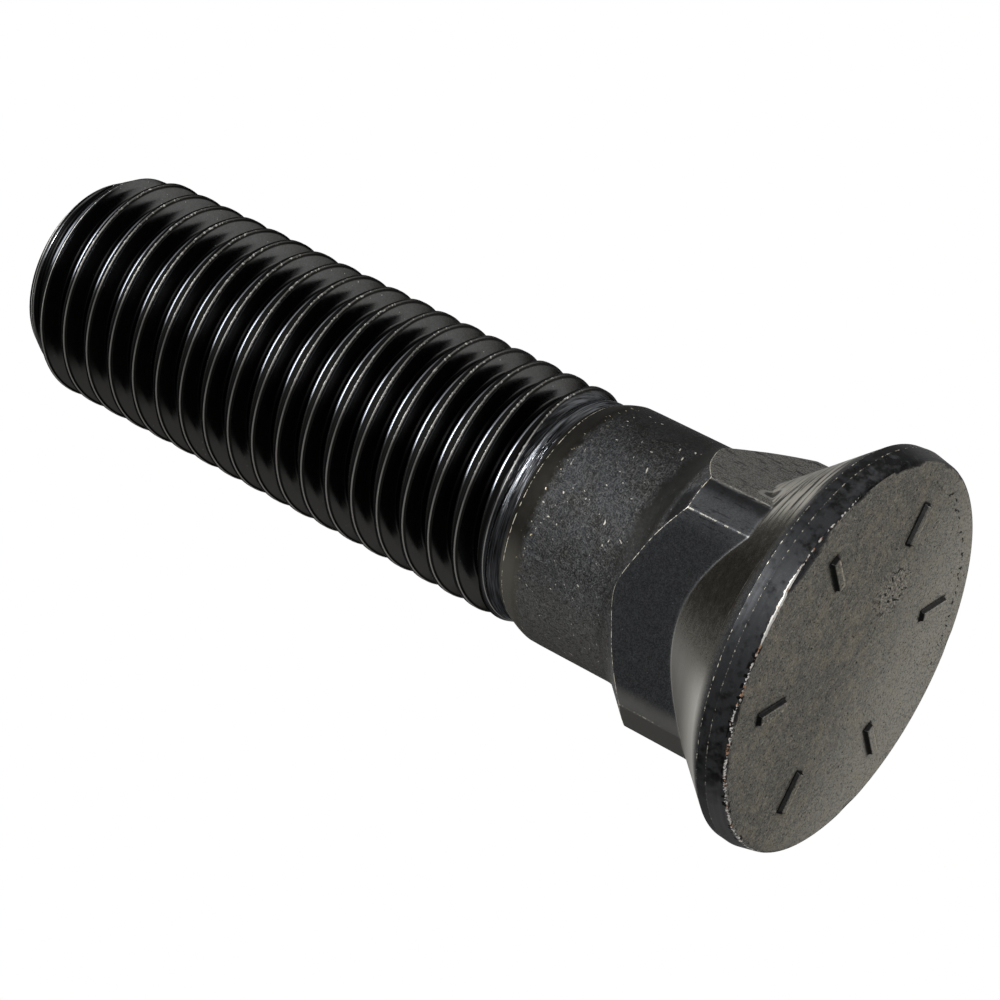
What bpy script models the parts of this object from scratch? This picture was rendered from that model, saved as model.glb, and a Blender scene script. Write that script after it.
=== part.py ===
"""Plow bolt, forged and rolled in one piece: a flat round head with a coned
underside, a square neck with chamfered corners, a plain shank and a coarse
right-hand thread. Lengths are in metres. The bolt stands on its head, with
+Z along its axis towards the tip."""
import math

import bmesh
import bpy

# Thread: a 3/4 in coarse one, ten turns to the inch
major_diameter = 0.01905
thread_pitch = 0.00254
flank_angle = math.radians(30)
crest_flat = 0.00050
root_fillet = 0.00033

# Lengths along the axis, each from the head's flat face
overall_length = 0.0750
first_crest = 0.02481
shank_length = 0.02345
neck_length = 0.0157

# Tip: a cone that cuts the last turns down to a small flat end
tip_diameter = 0.0157
tip_angle = math.radians(29.5)

# Head: flat face, upright rim with a narrow band above it, then the cone
face_diameter = 0.0302
face_edge_rise = 0.00045
face_edge_diameter = 0.0310
rim_diameter = 0.0315
rim_height = 0.00148
band_diameter = 0.03134
band_height = 0.00232
cone_angle = math.radians(40)

# Square neck, with a flat cut across each corner
neck_width = 0.0197
neck_across_corners = 0.0249
neck_fillet = 0.0006
shoulder_angle = math.radians(40)
shoulder_fillet = 0.0030

# Plain shank, and the slimmer blank that the thread is rolled on
shank_diameter = 0.01946
blank_diameter = 0.0181
shank_slope = math.radians(17)
shank_fillet = 0.0025
blank_length = 0.0016
runout_angle = math.radians(24)

# Thread run-out: the crests fade into the blank over this slope
fade_angle = math.radians(18)
fade_start = 0.0259

# Plain raised marks in a ring on the face
mark_count = 6
mark_length = 0.0033
mark_width = 0.0009
mark_height = 0.00035
mark_draft = 0.00012
mark_ring_diameter = 0.0212
mark_turn = math.radians(15)

# Surface: dark heat-treated steel
steel_colour = (0.045, 0.045, 0.047, 1.0)
steel_metallic = 0.85
steel_roughness = 0.42

# How finely round shapes are divided, and how sharp an edge is before it shows
turn_steps = 36
flat_steps = 14
corner_steps = 2
arc_steps = 3
root_steps = 3
body_crease = math.radians(28)
thread_crease = math.radians(50)
turn = 2 * math.pi

# How the shapes are joined: how deep one is sunk into the other, the turns of
# thread that the trimming takes away again, and the most of a straight side
# that one rounded corner may use
sunk_depth = 0.00025
spare_turns = 2
most_of_side = 0.49

# What follows from the sizes above
major_radius = major_diameter / 2
shank_radius = shank_diameter / 2
blank_radius = blank_diameter / 2
face_level = mark_height
tip_level = face_level + overall_length
groove_half = (thread_pitch - crest_flat) / 2
sharp_depth = groove_half / math.tan(flank_angle)
root_depth = sharp_depth - root_fillet / math.sin(flank_angle) + root_fillet
root_radius = major_radius - root_depth


def remove_everything():
    """Empty the scene that the script starts in."""
    for old in list(bpy.data.objects):
        bpy.data.objects.remove(old, do_unlink=True)


def rounded_corner(before, corner, after, radius, steps):
    """Points of an arc that replaces the corner between two straight lines."""
    back = (before[0] - corner[0], before[1] - corner[1])
    onward = (after[0] - corner[0], after[1] - corner[1])
    back_length = math.hypot(*back)
    onward_length = math.hypot(*onward)
    back = (back[0] / back_length, back[1] / back_length)
    onward = (onward[0] / onward_length, onward[1] / onward_length)
    half_angle = math.acos(back[0] * onward[0] + back[1] * onward[1]) / 2
    longest_reach = most_of_side * min(back_length, onward_length)
    reach = min(radius / math.tan(half_angle), longest_reach)
    fitted = reach * math.tan(half_angle)
    middle = (back[0] + onward[0], back[1] + onward[1])
    middle_length = math.hypot(*middle)
    to_centre = fitted / math.sin(half_angle) / middle_length
    centre = (corner[0] + middle[0] * to_centre, corner[1] + middle[1] * to_centre)
    start = (corner[0] + back[0] * reach - centre[0], corner[1] + back[1] * reach - centre[1])
    end = (corner[0] + onward[0] * reach - centre[0], corner[1] + onward[1] * reach - centre[1])
    sweep = math.atan2(start[0] * end[1] - start[1] * end[0], start[0] * end[0] + start[1] * end[1])
    points = []
    for step in range(steps + 1):
        bend = sweep * step / steps
        across = start[0] * math.cos(bend) - start[1] * math.sin(bend)
        along = start[0] * math.sin(bend) + start[1] * math.cos(bend)
        points.append((centre[0] + across, centre[1] + along))
    return points


def neck_radius(angle):
    """Distance from the axis to the side of the square neck at one angle."""
    from_flat = math.remainder(angle, turn / 4)
    to_flat = neck_width / 2 / math.cos(from_flat)
    to_corner_cut = neck_across_corners / 2 / math.cos(turn / 8 - abs(from_flat))
    return min(to_flat, to_corner_cut)


def cone_level(radius):
    """Height at which the head's coned underside has this radius."""
    return face_level + band_height + (band_diameter / 2 - radius) / math.tan(cone_angle)


def shoulder_level(radius):
    """Height of the shoulder above the square, a cone that curves into the shank."""
    rise = radius - shank_radius
    arc_rise = shoulder_fillet * (1 - math.cos(shoulder_angle))
    top = face_level + neck_length
    if rise < arc_rise:
        return top - math.sqrt(shoulder_fillet ** 2 - (shoulder_fillet - rise) ** 2)
    cone_drop = (rise - arc_rise) / math.tan(shoulder_angle)
    return top - shoulder_fillet * math.sin(shoulder_angle) - cone_drop


def body_outline(angle):
    """Radius and height of the head, neck and shank, from the face's centre up, at one angle."""
    neck = neck_radius(angle)
    shank_end = face_level + shank_length
    slope_end = shank_end + (shank_radius - blank_radius) / math.tan(shank_slope)
    blank_end = slope_end + blank_length
    core_radius = root_radius - sunk_depth
    core_end = blank_end + (blank_radius - core_radius) / math.tan(runout_angle)
    rim = (rim_diameter / 2, face_level + rim_height)
    band = (band_diameter / 2, face_level + band_height)
    edge = (face_edge_diameter / 2, face_level + face_edge_rise)
    foot = (neck, cone_level(neck))
    neck_top = (neck, shoulder_level(neck))
    points = [(0.0, face_level), (face_diameter / 2, face_level), edge, rim, band]
    points += rounded_corner(band, foot, neck_top, neck_fillet, arc_steps)
    for step in range(arc_steps + 2):
        share = (1 - step / (arc_steps + 1)) ** 2
        radius = shank_radius + (neck - shank_radius) * share
        points.append((radius, shoulder_level(radius)))
    shank_corner = (shank_radius, shank_end)
    slope_corner = (blank_radius, slope_end)
    points += rounded_corner(points[-1], shank_corner, slope_corner, shank_fillet, arc_steps)
    points += [slope_corner, (blank_radius, blank_end), (core_radius, core_end), (0.0, core_end)]
    return points


def linked_object(shape, name, crease):
    """Put a finished bmesh into the scene, shaded smooth apart from edges above the crease angle."""
    mesh = bpy.data.meshes.new(name)
    shape.to_mesh(mesh)
    shape.free()
    mesh.shade_smooth()
    mesh.set_sharp_from_angle(angle=crease)
    solid = bpy.data.objects.new(name, mesh)
    bpy.context.collection.objects.link(solid)
    return solid


def body_angles():
    """Angles round the body, with one on each edge of the neck's flats and corner cuts."""
    half_flat = neck_across_corners / 2 * math.sqrt(2) - neck_width / 2
    edge_angle = math.atan2(half_flat, neck_width / 2)
    angles = []
    for quarter in range(4):
        middle = quarter * turn / 4
        for step in range(flat_steps):
            angles.append(middle + edge_angle * (2 * step / flat_steps - 1))
        corner_sweep = turn / 4 - 2 * edge_angle
        for step in range(corner_steps):
            angles.append(middle + edge_angle + corner_sweep * step / corner_steps)
    return angles


def trim_angles():
    """Evenly spaced angles round the axis, halfway between the thread's own."""
    return [turn * (step + 0.5) / turn_steps for step in range(turn_steps)]


def lofted_solid(name, angles, outline):
    """A closed solid round the Z axis; its outline starts and ends on the axis."""
    shape = bmesh.new()
    outlines = [outline(angle) for angle in angles]
    bottom = shape.verts.new((0.0, 0.0, outlines[0][0][1]))
    top = shape.verts.new((0.0, 0.0, outlines[0][-1][1]))
    columns = []
    for angle, points in zip(angles, outlines):
        column = [bottom]
        for radius, level in points[1:-1]:
            place = (radius * math.cos(angle), radius * math.sin(angle), level)
            column.append(shape.verts.new(place))
        column.append(top)
        columns.append(column)
    for index, column in enumerate(columns):
        following = columns[(index + 1) % len(columns)]
        for row in range(len(column) - 1):
            corners = [column[row], following[row], following[row + 1], column[row + 1]]
            shape.faces.new(list(dict.fromkeys(corners)))
    return linked_object(shape, name, body_crease)


def thread_profile():
    """One pitch of the thread, from a crest's lower edge: axial offset and radius."""
    points = [(-crest_flat / 2, major_radius), (crest_flat / 2, major_radius)]
    root_centre = major_radius - root_depth + root_fillet
    half_sweep = turn / 4 - flank_angle
    for step in range(root_steps + 1):
        bend = half_sweep * (2 * step / root_steps - 1)
        along = thread_pitch / 2 + root_fillet * math.sin(bend)
        points.append((along, root_centre - root_fillet * math.cos(bend)))
    return points


def thread_solid(name):
    """A right-hand thread as one helical skin, closed at each end by a fan to the axis."""
    shape = bmesh.new()
    profile = thread_profile()
    turns = math.ceil((overall_length - first_crest) / thread_pitch) + spare_turns
    start = face_level + first_crest
    rows = []
    for step in range(turns * turn_steps + 1):
        angle = turn * step / turn_steps
        climb = start + thread_pitch * step / turn_steps
        row = []
        for along, radius in profile:
            place = (radius * math.cos(angle), radius * math.sin(angle), climb + along)
            row.append(shape.verts.new(place))
        rows.append(row)
    last = len(rows) - 1
    for step in range(last):
        row = list(rows[step])
        following = list(rows[step + 1])
        if step + 1 + turn_steps <= last:
            row.append(rows[step + turn_steps][0])
            following.append(rows[step + 1 + turn_steps][0])
        for place in range(len(row) - 1):
            shape.faces.new([row[place], following[place], following[place + 1], row[place + 1]])
    low_loop = [rows[step][0] for step in range(turn_steps + 1)] + rows[0][:0:-1]
    high_loop = rows[last][:-1] + [rows[last - step][-1] for step in range(turn_steps + 1)]
    low_centre = shape.verts.new((0.0, 0.0, start + thread_pitch / 2))
    high_centre = shape.verts.new((0.0, 0.0, rows[last][0].co.z))
    for index, corner in enumerate(low_loop):
        following = low_loop[(index + 1) % len(low_loop)]
        shape.faces.new([low_centre, following, corner])
    for index, corner in enumerate(high_loop):
        following = high_loop[(index + 1) % len(high_loop)]
        shape.faces.new([high_centre, following, corner])
    bmesh.ops.recalc_face_normals(shape, faces=shape.faces)
    return linked_object(shape, name, thread_crease)


def thread_limit(angle):
    """Outline that trims the thread: crests fade in over the blank and out at the tip."""
    hidden_radius = blank_radius - sunk_depth
    open_radius = major_radius + thread_pitch / 2
    bottom = face_level + first_crest - thread_pitch
    fade_level = face_level + fade_start
    fade_end = fade_level + (open_radius - hidden_radius) / math.tan(fade_angle)
    tip_start = tip_level - (open_radius - tip_diameter / 2) / math.tan(tip_angle)
    return [
        (0.0, bottom),
        (hidden_radius, bottom),
        (hidden_radius, fade_level),
        (open_radius, fade_end),
        (open_radius, tip_start),
        (tip_diameter / 2, tip_level),
        (0.0, tip_level),
    ]


def mark_solid(index):
    """One plain raised bar on the face, a little narrower at its free side."""
    shape = bmesh.new()
    bmesh.ops.create_cube(shape, size=1.0)
    depth = mark_height * 2
    for corner in shape.verts:
        free_side = corner.co.z < 0
        trim = mark_draft if free_side else 0.0
        along = math.copysign(mark_length / 2 - trim, corner.co.x)
        across = math.copysign(mark_width / 2 - trim, corner.co.y)
        level = 0.0 if free_side else depth
        corner.co = (mark_ring_diameter / 2 + along, across, level)
    mark = linked_object(shape, f"face_mark_{index + 1}", body_crease)
    mark.rotation_euler.z = mark_turn + turn * index / mark_count
    return mark


def combine(target, helper, operation):
    """Give the target a Boolean with a helper solid."""
    step = target.modifiers.new(f"{operation.lower()}_{helper.name}", "BOOLEAN")
    step.operation = operation
    step.solver = "EXACT"
    step.object = helper


def united_mesh(target):
    """The target's mesh with its Booleans worked out, sharp where the pieces meet at an edge."""
    depsgraph = bpy.context.evaluated_depsgraph_get()
    mesh = bpy.data.meshes.new_from_object(target.evaluated_get(depsgraph))
    mesh.name = target.name
    shape = bmesh.new()
    shape.from_mesh(mesh)
    for edge in shape.edges:
        if edge.calc_face_angle() > thread_crease:
            edge.smooth = False
    shape.to_mesh(mesh)
    shape.free()
    return mesh


def black_steel():
    """Dark heat-treated steel with a thin oil-black skin."""
    material = bpy.data.materials.new("black_steel")
    material.use_nodes = True
    surface = material.node_tree.nodes["Principled BSDF"]
    surface.inputs["Base Color"].default_value = steel_colour
    surface.inputs["Metallic"].default_value = steel_metallic
    surface.inputs["Roughness"].default_value = steel_roughness
    return material


def main():
    """Build the bolt as one solid."""
    remove_everything()
    bolt = lofted_solid("plow_bolt", body_angles(), body_outline)
    thread = thread_solid("thread_turns")
    limit = lofted_solid("thread_trim", trim_angles(), thread_limit)
    combine(thread, limit, "INTERSECT")
    combine(bolt, thread, "UNION")
    for index in range(mark_count):
        combine(bolt, mark_solid(index), "UNION")
    bolt.data = united_mesh(bolt)
    bolt.modifiers.clear()
    for helper in list(bpy.data.objects):
        if helper != bolt:
            bpy.data.objects.remove(helper, do_unlink=True)
    bolt.data.materials.append(black_steel())


main()
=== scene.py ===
import math

import bmesh
import bpy
import numpy as np
from mathutils import Matrix, Vector, noise


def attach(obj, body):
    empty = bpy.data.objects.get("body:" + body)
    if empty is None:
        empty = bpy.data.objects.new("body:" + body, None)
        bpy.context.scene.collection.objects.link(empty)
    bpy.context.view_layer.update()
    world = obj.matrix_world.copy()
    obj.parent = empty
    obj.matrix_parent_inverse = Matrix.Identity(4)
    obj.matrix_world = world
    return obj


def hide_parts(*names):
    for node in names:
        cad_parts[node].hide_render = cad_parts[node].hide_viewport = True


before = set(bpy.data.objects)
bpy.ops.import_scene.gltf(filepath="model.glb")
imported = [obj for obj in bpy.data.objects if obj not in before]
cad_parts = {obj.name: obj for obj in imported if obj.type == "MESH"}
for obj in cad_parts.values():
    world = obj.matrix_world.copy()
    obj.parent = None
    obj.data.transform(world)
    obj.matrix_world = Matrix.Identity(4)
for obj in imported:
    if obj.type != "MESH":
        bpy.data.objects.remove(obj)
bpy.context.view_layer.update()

mm = 0.001
turn = 2 * math.pi

# Thread
major_radius = 19.05 * mm / 2
thread_pitch = 2.54 * mm
flank_angle = math.radians(30)
crest_flat = 0.50 * mm
root_fillet = 0.33 * mm
first_crest = 24.81 * mm
head_side_edge_radius = 0.07 * mm
tip_side_edge_radius = 0.30 * mm
crest_fold_depth = 0.02 * mm
wide_side = -65
wide_sharpness = 5
front_start = 0.2
front_full = 0.6
head_edge_shift = 0.05 * mm
head_edge_swell = 0.25 * mm
tip_edge_shift = 0.27 * mm
tip_edge_swell = 0.20 * mm
full_crest_level = 54.0 * mm
narrow_crest_level = 73.0 * mm
tip_narrowing = 0.8
thread_blend = 0.02 * mm
early_shift = 0.40 * mm

# Lengths along the axis
overall_length = 75.0 * mm
tip_radius = 15.7 * mm / 2
tip_slope = math.tan(math.radians(29.5))
tip_edge = 0.15 * mm
tip_hollow = 0.5 * mm

# Head
mark_height = 0.35 * mm
face_edge_radius = 15.42 * mm
face_edge_rounding = 0.16 * mm
rim_radius = 15.75 * mm
rim_height = 1.48 * mm
band_radius = 15.67 * mm
band_height = 2.32 * mm
cone_slope = math.tan(math.radians(40))

# Neck and shoulder
neck_half_width = 19.7 * mm / 2
neck_half_across = 24.9 * mm / 2
neck_edge_blend = 0.035 * mm
neck_fillet = 0.6 * mm
neck_length = 15.7 * mm
shoulder_angle = math.radians(40)
shoulder_fillet = 3.0 * mm
shoulder_edge_radius = 0.16 * mm

# Shank and the run-out of the thread
shank_radius = 19.46 * mm / 2
blank_radius = 18.1 * mm / 2
shank_end = 23.45 * mm
rolled_edge_level = 24.80 * mm
rolled_edge_radius = 9.25 * mm
fold_level = 26.35 * mm
runout_slope = 0.5
runout_start = 26.8 * mm
runout_end = 27.8 * mm
fade_level = 25.9 * mm
fade_slope = 0.36

# Knocks along the face's edge: short chips and one long one
chip_start = 14.8 * mm
chip_full = 15.2 * mm
short_chip_spacing = 1.1 * mm
short_chip_threshold = 0.12
short_chip_depth = 0.35 * mm
long_chip_middle = math.radians(-54)
long_chip_half_angle = math.radians(12)
long_chip_width = 1.1 * mm
long_chip_depth = 0.12 * mm

# Raised bars on the face
mark_count = 6
mark_turn = math.radians(15)
mark_middle = 21.2 * mm / 2
mark_half_length = 3.3 * mm / 2
mark_half_width = 0.9 * mm / 2
mark_edge_width = 0.14 * mm
# The side whose bar edges carry a painted highlight
mark_glint_side = math.radians(109)

# What follows from these sizes
groove_half = (thread_pitch - crest_flat) / 2
root_depth = groove_half / math.tan(flank_angle) - root_fillet / math.sin(flank_angle) + root_fillet
root_radius = major_radius - root_depth
thread_columns = 144
strip_first_column = 100
strip_level = first_crest - thread_pitch / 2 + thread_pitch * strip_first_column / thread_columns
tip_level = overall_length

# Heights of the rings at the shank's end, radii of the rings in the face's middle and near its edge,
# places of the thread's rows from the middle of a crest, and the groove's rise above the shank's worn
# edge with its change in radius. All but the first are in millimetres.
shank_end_levels = [23.62 * mm, 23.80 * mm, 24.1 * mm, 24.4 * mm, 24.62 * mm, 24.72 * mm, 24.77 * mm,
                    24.81 * mm, 24.85 * mm, 24.91 * mm, 25.0 * mm, 25.08 * mm, 25.16 * mm, 25.24 * mm]
inner_radii = [1.0, 2.2, 3.6, 5.0, 6.4, 7.8]
outer_radii = [12.9, 13.6, 14.1, 14.4, 14.6, 14.75, 14.9, 15.03, 15.14]
row_offsets = [-1.27, -1.13, -0.98, -0.75, -0.5, -0.36, -0.295, -0.265, -0.235, -0.205, -0.10,
               0.02, 0.08, 0.14, 0.20, 0.26, 0.32, 0.38, 0.72, 0.98, 1.13]
groove_shape = [(0.20, 0.0), (0.35, -0.08), (0.50, -0.10), (0.70, -0.04), (0.90, 0.03), (1.08, 0.07),
                (1.25, 0.05), (1.40, -0.01)]


def smooth_least(values, blend):
    """The least of some lengths, with the corner between them rounded."""
    least = min(values)
    return least - blend * math.log(sum(math.exp((least - value) / blend) for value in values))


def neck_radius(angle):
    """Distance from the axis to the side of the square neck at one angle."""
    from_flat = math.remainder(angle, turn / 4)
    to_flat = neck_half_width / math.cos(from_flat)
    to_corner_cut = neck_half_across / math.cos(turn / 8 - abs(from_flat))
    return smooth_least((to_flat, to_corner_cut), neck_edge_blend)


def shoulder_shift(angle):
    """How much nearer to the tip the forged shoulder lies than drawn, at one angle."""
    return (0.24 - 0.17 * math.cos(angle) + 0.24 * math.cos(2 * angle)) * mm


def cone_level(radius):
    return band_height + (band_radius - radius) / cone_slope


def shoulder_level(radius, angle):
    """Height of the shoulder, a cone that curves into the shank."""
    rise = max(radius - shank_radius, 0.0)
    arc_rise = shoulder_fillet * (1 - math.cos(shoulder_angle))
    top = neck_length + shoulder_shift(angle)
    if rise < arc_rise:
        return top - math.sqrt(shoulder_fillet ** 2 - (shoulder_fillet - rise) ** 2)
    cone_drop = (rise - arc_rise) / math.tan(shoulder_angle)
    return top - shoulder_fillet * math.sin(shoulder_angle) - cone_drop


def arc_points(before, corner, after, radius, steps):
    """Points of an arc that rounds the corner between two straight lines."""
    before, corner, after = Vector(before), Vector(corner), Vector(after)
    back = (before - corner).normalized()
    onward = (after - corner).normalized()
    half_angle = back.angle(onward) / 2
    shortest = min((before - corner).length, (after - corner).length)
    reach = min(radius / math.tan(half_angle), 0.45 * shortest)
    fitted = reach * math.tan(half_angle)
    centre = corner + (back + onward).normalized() * fitted / math.sin(half_angle)
    start = corner + back * reach - centre
    end = corner + onward * reach - centre
    sweep = math.atan2(start.cross(end), start.dot(end))
    return [tuple(centre + Matrix.Rotation(sweep * step / steps, 2) @ start) for step in range(steps + 1)]


def between(start, end, count):
    """Evenly spaced points strictly between two points."""
    start, end = Vector(start), Vector(end)
    return [tuple(start.lerp(end, (step + 1) / (count + 1))) for step in range(count)]


def smooth_step(low, high, value):
    share = min(max((value - low) / (high - low), 0.0), 1.0)
    return share * share * (3 - 2 * share)


def stem_radius(level):
    """Radius of the shank, its worn edge, the groove beside it and the blank's last smooth band."""
    core_radius = root_radius - 0.25 * mm
    profile = [
        (shank_end - 0.25 * mm, shank_radius),
        (shank_end + 0.05 * mm, shank_radius - 0.02 * mm),
        (shank_end + 0.55 * mm, shank_radius - 0.16 * mm),
        (rolled_edge_level - 0.08 * mm, rolled_edge_radius + 0.03 * mm),
        (rolled_edge_level, rolled_edge_radius),
        (rolled_edge_level + 0.06 * mm, rolled_edge_radius - 0.05 * mm),
    ]
    profile += [(rolled_edge_level + rise * mm, blank_radius + change * mm) for rise, change in groove_shape]
    profile += [
        (fold_level, blank_radius - 0.08 * mm),
        (fold_level + 0.15 * mm, blank_radius - 0.12 * mm),
        (fold_level + 1.15 * mm, core_radius),
    ]
    levels, radii = zip(*profile)
    return float(np.interp(level, levels, radii))


def crest_knots(angle, level):
    """Axial places of the crest's two edges at one place, beside their places on the plain profile."""
    facing = math.cos(angle - math.radians(wide_side))
    wide = max(facing, 0.0) ** wide_sharpness
    wide *= 1 - tip_narrowing * smooth_step(full_crest_level, narrow_crest_level, level)
    front = smooth_step(front_start, front_full, facing)
    head_edge = -crest_flat / 2 - head_edge_shift * front - head_edge_swell * wide
    tip_edge = crest_flat / 2 - tip_edge_shift * front + tip_edge_swell * wide
    root_start = thread_pitch / 2 - root_fillet * math.cos(flank_angle)
    ends = [-thread_pitch / 2, -root_start, root_start, thread_pitch / 2]
    plain = ends[:2] + [-crest_flat / 2, crest_flat / 2] + ends[2:]
    rolled = ends[:2] + [head_edge, tip_edge] + ends[2:]
    return plain, rolled


def thread_radius(offset):
    """Radius of the thread's surface at an axial distance from the middle of a crest."""
    distance = abs(offset)
    edge_radius = tip_side_edge_radius if offset > 0 else head_side_edge_radius
    half_flat = crest_flat / 2
    reach = edge_radius * math.tan((turn / 4 - flank_angle) / 2)
    flank_start = half_flat + reach * math.sin(flank_angle)
    root_start = thread_pitch / 2 - root_fillet * math.cos(flank_angle)
    if distance < half_flat - reach:
        share = distance / (half_flat - reach)
        return major_radius - crest_fold_depth * (1 - share) ** 2
    if distance < flank_start:
        across = distance - (half_flat - reach)
        return major_radius - edge_radius + math.sqrt(edge_radius ** 2 - across ** 2)
    if distance < root_start:
        return major_radius - (distance - half_flat) / math.tan(flank_angle)
    from_root = thread_pitch / 2 - distance
    return root_radius + root_fillet - math.sqrt(root_fillet ** 2 - from_root ** 2)


def thread_shift(level):
    """How far the rolled thread runs ahead of its nominal place, most at the shank."""
    return early_shift * (tip_level - level) / (tip_level - first_crest)


def strip_radius(angle, level):
    """Radius of the blank with its thread at one angle and height."""
    nominal = level - thread_shift(level)
    offset = math.remainder(nominal - first_crest - thread_pitch * angle / turn, thread_pitch)
    plain, rolled = crest_knots(angle, level)
    shaped = float(np.interp(offset, rolled, plain))
    thread = thread_radius(shaped)
    if shaped < -crest_flat / 2:
        # The last crest falls gently to the fold, where the rolling dies left the blank half formed
        formed = smooth_step(runout_start, runout_end, level - offset)
        slope = runout_slope + (1 / math.tan(flank_angle) - runout_slope) * formed
        thread = max(thread, major_radius - crest_fold_depth + (shaped + crest_flat / 2) * slope)
    fade = blank_radius + (level - fade_level) * fade_slope
    tip = tip_radius + (tip_level - level) * tip_slope
    return max(stem_radius(level), smooth_least((thread, fade, tip), thread_blend))


zone_names = ("face", "from_edge", "bar_shade", "rim", "cone", "neck", "shank", "thread", "edge")


class Skin:
    """A closed surface made ring by ring; each ring is a list of vertices with their angles."""

    def __init__(self):
        self.shape = bmesh.new()
        self.zones = {name: self.shape.verts.layers.float.new(name) for name in zone_names}

    def vertex(self, radius, angle, level, **zones):
        place = (radius * math.cos(angle), radius * math.sin(angle), level + mark_height)
        corner = self.shape.verts.new(place)
        for name, value in zones.items():
            corner[self.zones[name]] = value
        return corner

    def face(self, corners):
        corners = list(dict.fromkeys(corners))
        if len(corners) > 2:
            self.shape.faces.new(corners)

    def bridge(self, lower, upper):
        """Quads between two rings with the same number of vertices."""
        count = len(lower)
        for index in range(count):
            following = (index + 1) % count
            self.face([lower[index], lower[following], upper[following], upper[index]])

    def zip(self, lower, lower_angles, upper, upper_angles):
        """Triangles between two rings whose vertices stand at other angles."""
        low, high = 0, 0
        while low < len(lower) or high < len(upper):
            next_low = lower_angles[low + 1] if low + 1 < len(lower) else lower_angles[0] + turn
            next_high = upper_angles[high + 1] if high + 1 < len(upper) else upper_angles[0] + turn
            step_low = high == len(upper) or (low < len(lower) and next_low <= next_high)
            first = lower[low % len(lower)]
            second = upper[high % len(upper)]
            if step_low:
                low += 1
                self.face([first, lower[low % len(lower)], second])
            else:
                high += 1
                self.face([first, upper[high % len(upper)], second])


def even_angles(count):
    return [turn * step / count for step in range(count)]


def refined_angles(count, middles, offsets, clear):
    """Even angles, with a finer set in place of those near each of some middles."""
    angles = []
    for angle in even_angles(count):
        if all(abs(math.remainder(angle - middle, turn)) > clear for middle in middles):
            angles.append(angle)
    for middle in middles:
        angles += [(middle + offset) % turn for offset in offsets]
    return sorted(angles)


def mark_middles():
    return [mark_turn + turn * index / mark_count for index in range(mark_count)]


def neck_edges():
    """Angles of the neck's eight upright edges."""
    half_flat = neck_half_across * math.sqrt(2) - neck_half_width
    edge = math.atan2(half_flat, neck_half_width)
    return [turn * quarter / 4 + side * edge for quarter in range(4) for side in (-1, 1)]


def mark_share(radius, angle):
    """The shares of height, worn top edge with a painted highlight on its lit side, and painted shade at the
    foot that the face's raised bars have at one place.
    """
    nearest = min(mark_middles(), key=lambda middle: abs(math.remainder(angle - middle, turn)))
    aside = math.remainder(angle - nearest, turn)
    across = mark_half_width - abs(radius * math.sin(aside))
    along = mark_half_length - abs(radius * math.cos(aside) - mark_middle)
    if abs(aside) > turn / 8:
        return 0.0, 0.0, 0.0
    inside = min(across, along)
    share = smooth_step(0.0, mark_edge_width, inside)
    outward = nearest + math.copysign(turn / 4, aside)
    if along < across:
        outward = nearest if radius > mark_middle else nearest + turn / 2
    bar_wear_and_glint = max(0.0, 1.3 - abs(inside - mark_edge_width - 0.06 * mm) / (0.12 * mm))
    # Painted highlight: the worn top-edge line stays only on the edges that face the lit side
    bar_wear_and_glint *= smooth_step(-0.4, 0.5, math.cos(outward - mark_glint_side))
    risen = smooth_step(0.6 * mark_edge_width, mark_edge_width, inside)
    # Painted shade at the bar's foot
    foot = smooth_step(-0.20 * mm, 0.0, inside) * (1 - risen)
    return share, bar_wear_and_glint, foot


def unevenness(angle, level, size, seed):
    """Smooth noise from -1 to 1 round the bolt, with features of one size."""
    place = Vector((math.cos(angle) * major_radius, math.sin(angle) * major_radius, level)) / size
    return noise.noise(place + Vector((seed, seed, seed)))


def chip_depth(radius, angle):
    """Depth of the knocks along the face's edge: short chips all round and one long facet."""
    knocked_side = 0.25 + 0.75 * smooth_step(0.0, 0.7, math.cos(angle - long_chip_middle))
    near_edge = smooth_step(chip_start, chip_full, radius) * knocked_side
    short = max(0.0, unevenness(angle, 0.0, short_chip_spacing, 5.0) - short_chip_threshold)
    long_aside = abs(math.remainder(angle - long_chip_middle, turn)) / long_chip_half_angle
    reach = long_chip_width * (1 - long_aside ** 2) + 0.10 * mm * unevenness(angle, 0.0, 1.6 * mm, 12.0)
    boundary = face_edge_radius - max(reach, 0.0)
    facet = smooth_step(boundary, boundary + 0.25 * mm, radius)
    long_chip = long_chip_depth * facet * (1 - smooth_step(0.8, 1.0, long_aside))
    return near_edge * short * short_chip_depth + long_chip


def make_face(skin):
    """The head's flat face with its bars, out to the face's edge."""
    inner_angles = even_angles(120)
    zones = {"face": 1.0, "from_edge": 5.0}
    centre = skin.vertex(0.0, 0.0, 0.0, **zones)
    ring = [skin.vertex(inner_radii[0] * mm, angle, 0.0, **zones) for angle in inner_angles]
    for index, corner in enumerate(ring):
        skin.face([centre, ring[(index + 1) % len(ring)], corner])
    for radius in inner_radii[1:]:
        following = [skin.vertex(radius * mm, angle, 0.0, **zones) for angle in inner_angles]
        skin.bridge(following, ring)
        ring = following
    return ring, inner_angles


def head_angles():
    """Angles for the head: fine all round, with columns along the sides of each bar."""
    inner_end = mark_middle - mark_half_length
    widths = [-0.08, 0.0, 0.03, 0.06, 0.10, 0.14, 0.20, 0.26]
    offsets = [0.0]
    for width in widths:
        aside = math.asin((mark_half_width - width * mm) / inner_end)
        offsets += [aside, -aside]
    clear = max(offsets) + math.radians(0.4)
    return refined_angles(400, mark_middles(), offsets, clear)


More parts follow.
